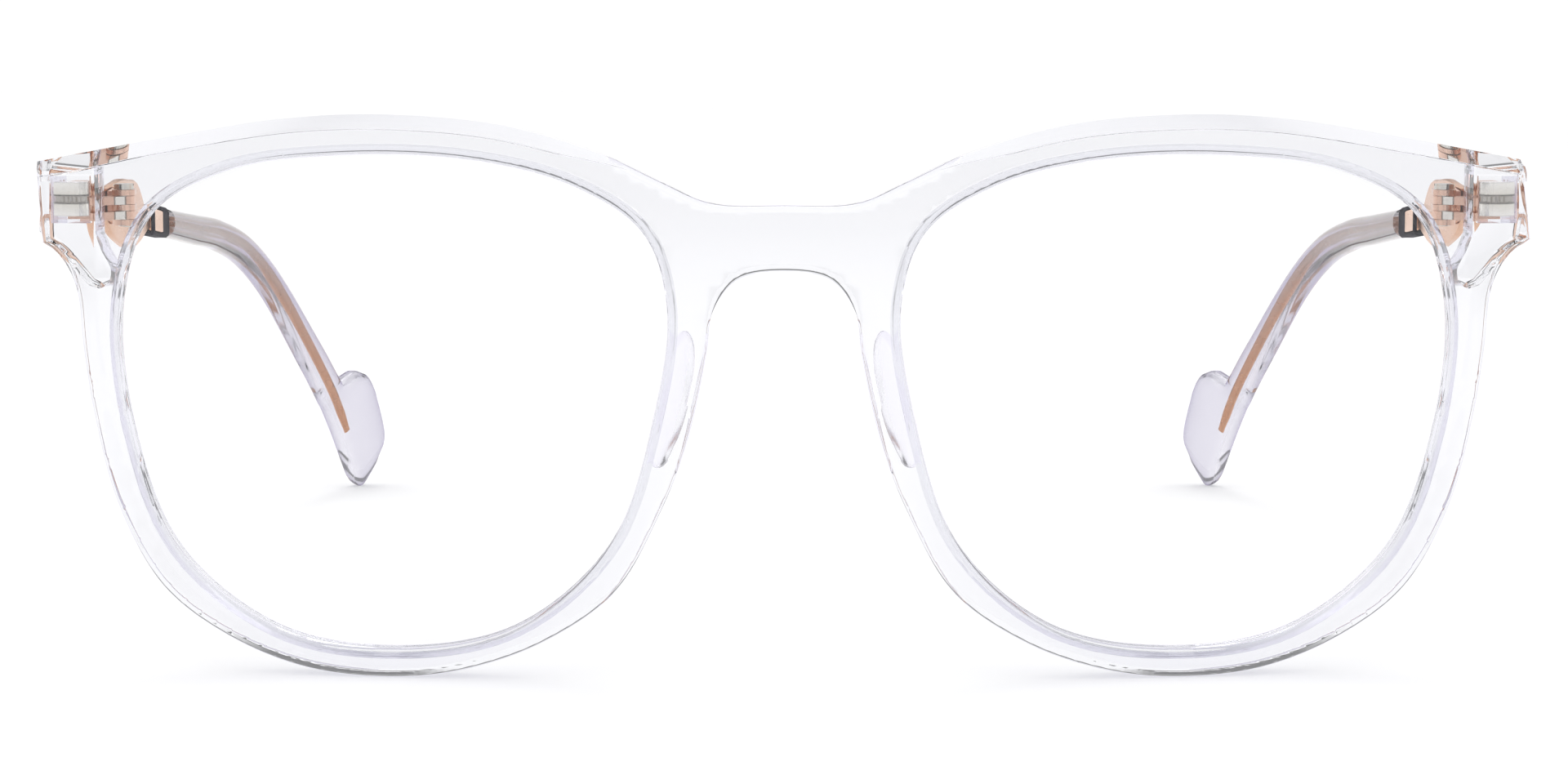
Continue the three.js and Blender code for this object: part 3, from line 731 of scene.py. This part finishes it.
class Nodes:
    """A short way to build a node material round one Principled shader."""

    def __init__(self, name):
        self.material = bpy.data.materials.new(name)
        self.material.use_nodes = True
        self.tree = self.material.node_tree
        self.shader = self.tree.nodes["Principled BSDF"]
        self.output = self.tree.nodes["Material Output"]
        self.place = self.add("ShaderNodeTexCoord").outputs["Object"]

    def add(self, kind, **values):
        """A new node with some of its settings."""
        node = self.tree.nodes.new(kind)
        for name, value in values.items():
            setattr(node, name, value)
        return node

    def link(self, source, target):
        self.tree.links.new(source, target)

    def noise(self, scale, detail=2.0, stretch=(1, 1, 1)):
        """Noise over the object, finer along an axis with a larger stretch."""
        mapping = self.add("ShaderNodeMapping")
        mapping.inputs["Scale"].default_value = stretch
        texture = self.add("ShaderNodeTexNoise")
        texture.inputs["Scale"].default_value = scale
        texture.inputs["Detail"].default_value = detail
        self.link(self.place, mapping.inputs["Vector"])
        self.link(mapping.outputs["Vector"], texture.inputs["Vector"])
        return texture.outputs["Fac"]

    def ramp(self, source, *stops):
        """A colour for each value of the source, from stops of (position, colour)."""
        node = self.add("ShaderNodeValToRGB")
        elements = node.color_ramp.elements
        for i, (position, colour) in enumerate(stops):
            element = elements[i] if i < 2 else elements.new(position)
            element.position = position
            element.color = (*colour, 1)
        self.link(source, node.inputs["Fac"])
        return node.outputs["Color"]

    def spread(self, source, low, high, socket):
        """Feeds a socket of the shader with the source, spread between two values."""
        node = self.add("ShaderNodeMapRange")
        node.inputs["To Min"].default_value = low
        node.inputs["To Max"].default_value = high
        self.link(source, node.inputs["Value"])
        self.link(node.outputs["Result"], self.shader.inputs[socket])

    def bump(self, source, strength, distance):
        """Fine relief from the source."""
        node = self.add("ShaderNodeBump")
        node.inputs["Strength"].default_value = strength
        node.inputs["Distance"].default_value = distance
        self.link(source, node.inputs["Height"])
        self.link(node.outputs["Normal"], self.shader.inputs["Normal"])

    def set(self, **values):
        """Sets the shader's sockets by name, with _ for a space."""
        for name, value in values.items():
            self.shader.inputs[name.replace("_", " ")].default_value = value

    def painted_edge_shade(self, face, reach, edge):
        """Base colour that changes from face to edge as the surface turns away from the view:
        painted shade along the edges, standing in for their darker reflections.
        """
        weight = self.add("ShaderNodeLayerWeight")
        weight.inputs["Blend"].default_value = 0.5
        colour = self.ramp(weight.outputs["Facing"], (reach[0], face), (reach[1], edge))
        self.link(colour, self.shader.inputs["Base Color"])

    def let_lamps_through(self, tint):
        """Shadow and diffuse rays pass with a tint, so that a clear piece shades little."""
        path = self.add("ShaderNodeLightPath")
        clear = self.add("ShaderNodeBsdfTransparent")
        clear.inputs["Color"].default_value = (*tint, 1)
        mix = self.add("ShaderNodeMixShader")
        either = self.add("ShaderNodeMath", operation="MAXIMUM")
        self.link(path.outputs["Is Shadow Ray"], either.inputs[0])
        self.link(path.outputs["Is Diffuse Ray"], either.inputs[1])
        self.link(either.outputs["Value"], mix.inputs["Fac"])
        self.link(self.shader.outputs["BSDF"], mix.inputs[1])
        self.link(clear.outputs["BSDF"], mix.inputs[2])
        self.link(mix.outputs["Shader"], self.output.inputs["Surface"])


def clear_plastic():
    """Clear acetate: faintly lilac, with painted darker lilac shade where its surface turns away,
    and a soft, moulded polish.
    """
    n = Nodes("clear_acetate")
    # Painted shade: darker lilac where the surface turns away from the view, for the lines along the
    # rims' edges.
    n.painted_edge_shade((0.89, 0.892, 0.918), (0.45, 0.95), (0.52, 0.48, 0.7))
    n.set(Transmission_Weight=1, IOR=1.47)
    n.spread(n.noise(160), 0.0, 0.006, "Roughness")
    n.bump(n.noise(90, 1), 0.012, 0.0004)
    n.let_lamps_through((0.86, 0.86, 0.88))
    return n.material


def tip_plastic():
    """The same acetate on the tips, finely matt from wear, with painted dark violet shade along its
    edges.
    """
    n = Nodes("soft_clear_acetate")
    # Painted shade: the colour goes dark violet where the tip turns away from the view, for the dark
    # reflections along its edges.
    n.painted_edge_shade((0.89, 0.88, 0.93), (0.15, 0.75), (0.13, 0.1, 0.24))
    n.set(Transmission_Weight=1, IOR=1.47)
    n.spread(n.noise(160), 0.04, 0.08, "Roughness")
    n.bump(n.noise(60, 1), 0.01, 0.0004)
    n.let_lamps_through((0.6, 0.6, 0.63))
    return n.material


def pad_plastic():
    """The nose pads' acetate, softly matt and a shade more lilac."""
    n = Nodes("matt_clear_acetate")
    # Painted shade: a slightly darker lilac where the pad's surface turns away from the view.
    n.painted_edge_shade((0.985, 0.98, 0.995), (0.3, 0.95), (0.9, 0.87, 0.97))
    n.set(Transmission_Weight=1, IOR=1.04)
    n.spread(n.noise(160), 0.1, 0.16, "Roughness")
    n.bump(n.noise(300, 1), 0.02, 0.0004)
    n.let_lamps_through((0.9, 0.9, 0.93))
    return n.material


def lens_plastic():
    """The lens: almost colourless, with the lightest unevenness in its polish."""
    n = Nodes("coated_lens")
    n.set(Base_Color=(0.995, 0.995, 1, 1), Transmission_Weight=1, IOR=1.45)
    n.spread(n.noise(90), 0.0, 0.01, "Roughness")
    n.let_lamps_through((0.96, 0.96, 0.98))
    return n.material


def gold_plate(name, dark, light):
    """Brushed gold plate between two near shades."""
    n = Nodes(name)
    n.set(Metallic=1)
    n.link(n.ramp(n.noise(300, 3), (0.3, dark), (0.7, light)), n.shader.inputs["Base Color"])
    n.spread(n.noise(500, 4, (1, 0.1, 1)), 0.2, 0.34, "Roughness")
    n.bump(n.noise(1500, 3, (1, 0.15, 1)), 0.05, 0.0001)
    return n.material


def silver():
    """Machined steel, warm grey."""
    n = Nodes("machined_steel")
    n.set(Metallic=1)
    colour = n.ramp(n.noise(700, 3), (0.3, (0.6, 0.58, 0.52)), (0.7, (0.72, 0.7, 0.64)))
    n.link(colour, n.shader.inputs["Base Color"])
    n.spread(n.noise(900, 4, (0.2, 0.2, 2)), 0.12, 0.26, "Roughness")
    n.bump(n.noise(2500, 3, (0.1, 0.1, 1)), 0.1, 0.0001)
    return n.material


def hinge_metal():
    """The front hinge: steel at the knuckles, plated with pink gold on either side of them."""
    n = Nodes("hinge_metal")
    n.set(Metallic=1)
    split = n.add("ShaderNodeSeparateXYZ")
    n.link(n.place, split.inputs["Vector"])
    side = n.add("ShaderNodeMath", operation="ABSOLUTE")
    n.link(split.outputs["X"], side.inputs[0])
    across = n.add("ShaderNodeMapRange")
    across.inputs["From Min"].default_value = (HINGE_X - HINGE_COLOUR_REACH) * MM
    across.inputs["From Max"].default_value = (HINGE_X + HINGE_COLOUR_REACH) * MM
    n.link(side.outputs["Value"], across.inputs["Value"])
    steel, shade_line = (0.8, 0.78, 0.72), (0.16, 0.13, 0.11)
    colour = n.ramp(
        across.outputs["Result"], (0.0, PINK[1]), (0.24, PINK[0]), (0.28, shade_line),
        (0.34, steel), (0.68, steel), (0.74, shade_line), (0.78, PINK[0]))
    n.link(colour, n.shader.inputs["Base Color"])
    n.spread(n.noise(900, 4, (0.2, 0.2, 2)), 0.16, 0.3, "Roughness")
    n.bump(n.noise(2500, 3, (0.1, 0.1, 1)), 0.1, 0.0001)
    return n.material


def anchor_steel():
    """The anchor's steel: pale discs above and below a darker knurled band, with painted shade in a
    dark line where the band meets each disc.
    """
    n = Nodes("anchor_steel")
    n.set(Metallic=1)
    split = n.add("ShaderNodeSeparateXYZ")
    n.link(n.place, split.inputs["Vector"])
    band = n.add("ShaderNodeMapRange")
    away = n.add("ShaderNodeMath", operation="SUBTRACT")
    away.inputs[1].default_value = ANCHOR.z * MM
    n.link(split.outputs["Z"], away.inputs[0])
    size = n.add("ShaderNodeMath", operation="ABSOLUTE")
    n.link(away.outputs["Value"], size.inputs[0])
    band.inputs["From Max"].default_value = ANCHOR_COLOUR_REACH * MM
    n.link(size.outputs["Value"], band.inputs["Value"])
    # Painted shade: a dark line where the band meets each disc. The discs are pale, palest part-way
    # out and darker towards their far edges.
    colour = n.ramp(
        band.outputs["Result"], (0.0, (0.5, 0.48, 0.43)), (0.12, (0.5, 0.47, 0.42)),
        (0.17, (0.12, 0.11, 0.1)), (0.24, (0.82, 0.79, 0.7)), (0.68, (0.95, 0.93, 0.86)),
        (1.0, (0.3, 0.28, 0.25)))
    n.link(colour, n.shader.inputs["Base Color"])
    n.spread(n.noise(900, 4, (0.2, 0.2, 2)), 0.16, 0.3, "Roughness")
    n.bump(n.noise(3000, 2), 0.15, 0.0001)
    return n.material


def black_enamel():
    """The ferrules' enamel: nearly black, with hardly any gloss."""
    n = Nodes("black_enamel")
    colour = n.ramp(n.noise(400, 3), (0.3, (0.006, 0.005, 0.01)), (0.7, (0.014, 0.011, 0.022)))
    n.link(colour, n.shader.inputs["Base Color"])
    n.spread(n.noise(300, 3), 0.45, 0.6, "Roughness")
    n.set(Specular_IOR_Level=0.01)
    n.bump(n.noise(900, 3), 0.05, 0.0001)
    return n.material


def white_floor():
    """A plain matt white with a very slow change of shade."""
    n = Nodes("white_floor")
    colour = n.ramp(n.noise(3), (0.3, (0.955, 0.955, 0.96)), (0.7, (0.97, 0.97, 0.97)))
    n.link(colour, n.shader.inputs["Base Color"])
    n.set(Roughness=0.9, Specular_IOR_Level=0.1)
    return n.material


def wear(obj, material):
    """Gives an object its one material."""
    obj.data.materials.clear()
    obj.data.materials.append(material)


# ---------------------------------------------------------------- the assembly
METAL_NODES = {
    "hinge_anchor": anchor_steel(),
    "front_hinge": hinge_metal(),
    "hinge_screw": silver(),
}
GOLD = gold_plate("rose_gold_plate", (0.73, 0.45, 0.3), (0.8, 0.52, 0.37))
PINK_GOLD = gold_plate("pink_gold_plate", *PINK)
COPPER = gold_plate("copper_core", (0.64, 0.28, 0.11), (0.72, 0.34, 0.15))
CLEAR, TIP, PAD = clear_plastic(), tip_plastic(), pad_plastic()
LENS, BLACK = lens_plastic(), black_enamel()


def assign(node, material):
    """Gives a CAD node that stays in view its finished material and soft edges."""
    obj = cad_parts[node]
    for slot in obj.material_slots:
        slot.material = material
    rounded_edges(obj, 0.06)


def both(left, piece, node, body, material):
    """Places a left-hand piece and its mirror image as the looks of a pair of CAD nodes."""
    right = mirrored(left, "right_" + piece)
    for side, obj in (("left", left), ("right", right)):
        wear(obj, material)
        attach(obj, body.format(side=side))
        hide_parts(f"{side}_{node}")


front = front_piece()
wear(front, CLEAR)
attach(front, "front")
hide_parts("front_frame")
both(pad_piece(front), "soft_nose_pad", "nose_pad", "front", PAD)

both(lens_piece(), "clear_lens", "lens", "front", LENS)
both(arm_piece(), "metal_arm", "temple_arm", "{side}_temple", GOLD)
both(ferrule_piece(), "black_ferrule", "ferrule", "{side}_temple", BLACK)
both(tip_piece(), "clear_tip", "temple_tip", "{side}_temple", TIP)
both(core_piece(), "copper_core", "core_wire", "{side}_temple", COPPER)

for side in ("left", "right"):
    for node, material in METAL_NODES.items():
        assign(f"{side}_{node}", material)
    assign(f"{side}_temple_hinge", PINK_GOLD)


# ---------------------------------------------------------------- floor, light and camera
def make_floor():
    """A pale floor that runs far past the view."""
    bm = bmesh.new()
    bmesh.ops.create_grid(bm, x_segments=8, y_segments=8, size=4)
    mesh = bpy.data.meshes.new("floor")
    bm.to_mesh(mesh)
    bm.free()
    floor = bpy.data.objects.new("floor", mesh)
    bpy.context.scene.collection.objects.link(floor)
    wear(floor, white_floor())


def make_world():
    """A white room: bright overhead and round the horizon, with a darker band in between."""
    world = bpy.data.worlds.new("studio")
    world.use_nodes = True
    tree = world.node_tree
    background = tree.nodes["Background"]
    place = tree.nodes.new("ShaderNodeTexCoord")
    split = tree.nodes.new("ShaderNodeSeparateXYZ")
    ramp = tree.nodes.new("ShaderNodeValToRGB")
    tree.links.new(place.outputs["Generated"], split.inputs["Vector"])
    tree.links.new(split.outputs["Z"], ramp.inputs["Fac"])
    tree.links.new(ramp.outputs["Color"], background.inputs["Color"])
    elements = ramp.color_ramp.elements
    for i, (position, grey) in enumerate(ROOM_GREYS):
        element = elements[i] if i < 2 else elements.new(position)
        element.position = position
        element.color = (grey, grey, grey, 1)
    background.inputs["Strength"].default_value = ROOM_STRENGTH
    bpy.context.scene.world = world


def make_light(name, place, target, size, power):
    """A round soft lamp at a place, aimed at a target."""
    data = bpy.data.lights.new(name, "AREA")
    data.shape = "DISK"
    data.size = size
    data.energy = power
    light = bpy.data.objects.new(name, data)
    light.location = place
    light.rotation_euler = (Vector(target) - Vector(place)).to_track_quat("-Z", "Y").to_euler()
    bpy.context.scene.collection.objects.link(light)


def make_camera():
    """The camera in front of the bridge."""
    data = bpy.data.cameras.new("camera")
    data.sensor_width = SENSOR
    data.lens = CAMERA_LENS
    data.clip_start = 0.01
    camera = bpy.data.objects.new("camera", data)
    camera.location = (0, FRONT_Y - CAMERA_DISTANCE * MM, CAMERA_HEIGHT * MM)
    camera.rotation_euler = (math.pi / 2 - CAMERA_PITCH, 0, 0)
    bpy.context.scene.collection.objects.link(camera)
    bpy.context.scene.camera = camera


make_floor()
make_world()
make_light("key", KEY_PLACE, (0, 0, 0), KEY_SIZE, KEY_POWER)
make_camera()

scene = bpy.context.scene
scene.view_settings.view_transform = "Standard"
scene.cycles.use_denoising = True
scene.cycles.max_bounces = 24
scene.cycles.transmission_bounces = 20
scene.cycles.transparent_max_bounces = 20
scene.cycles.glossy_bounces = 8
scene.cycles.caustics_refractive = False
scene.cycles.caustics_reflective = False
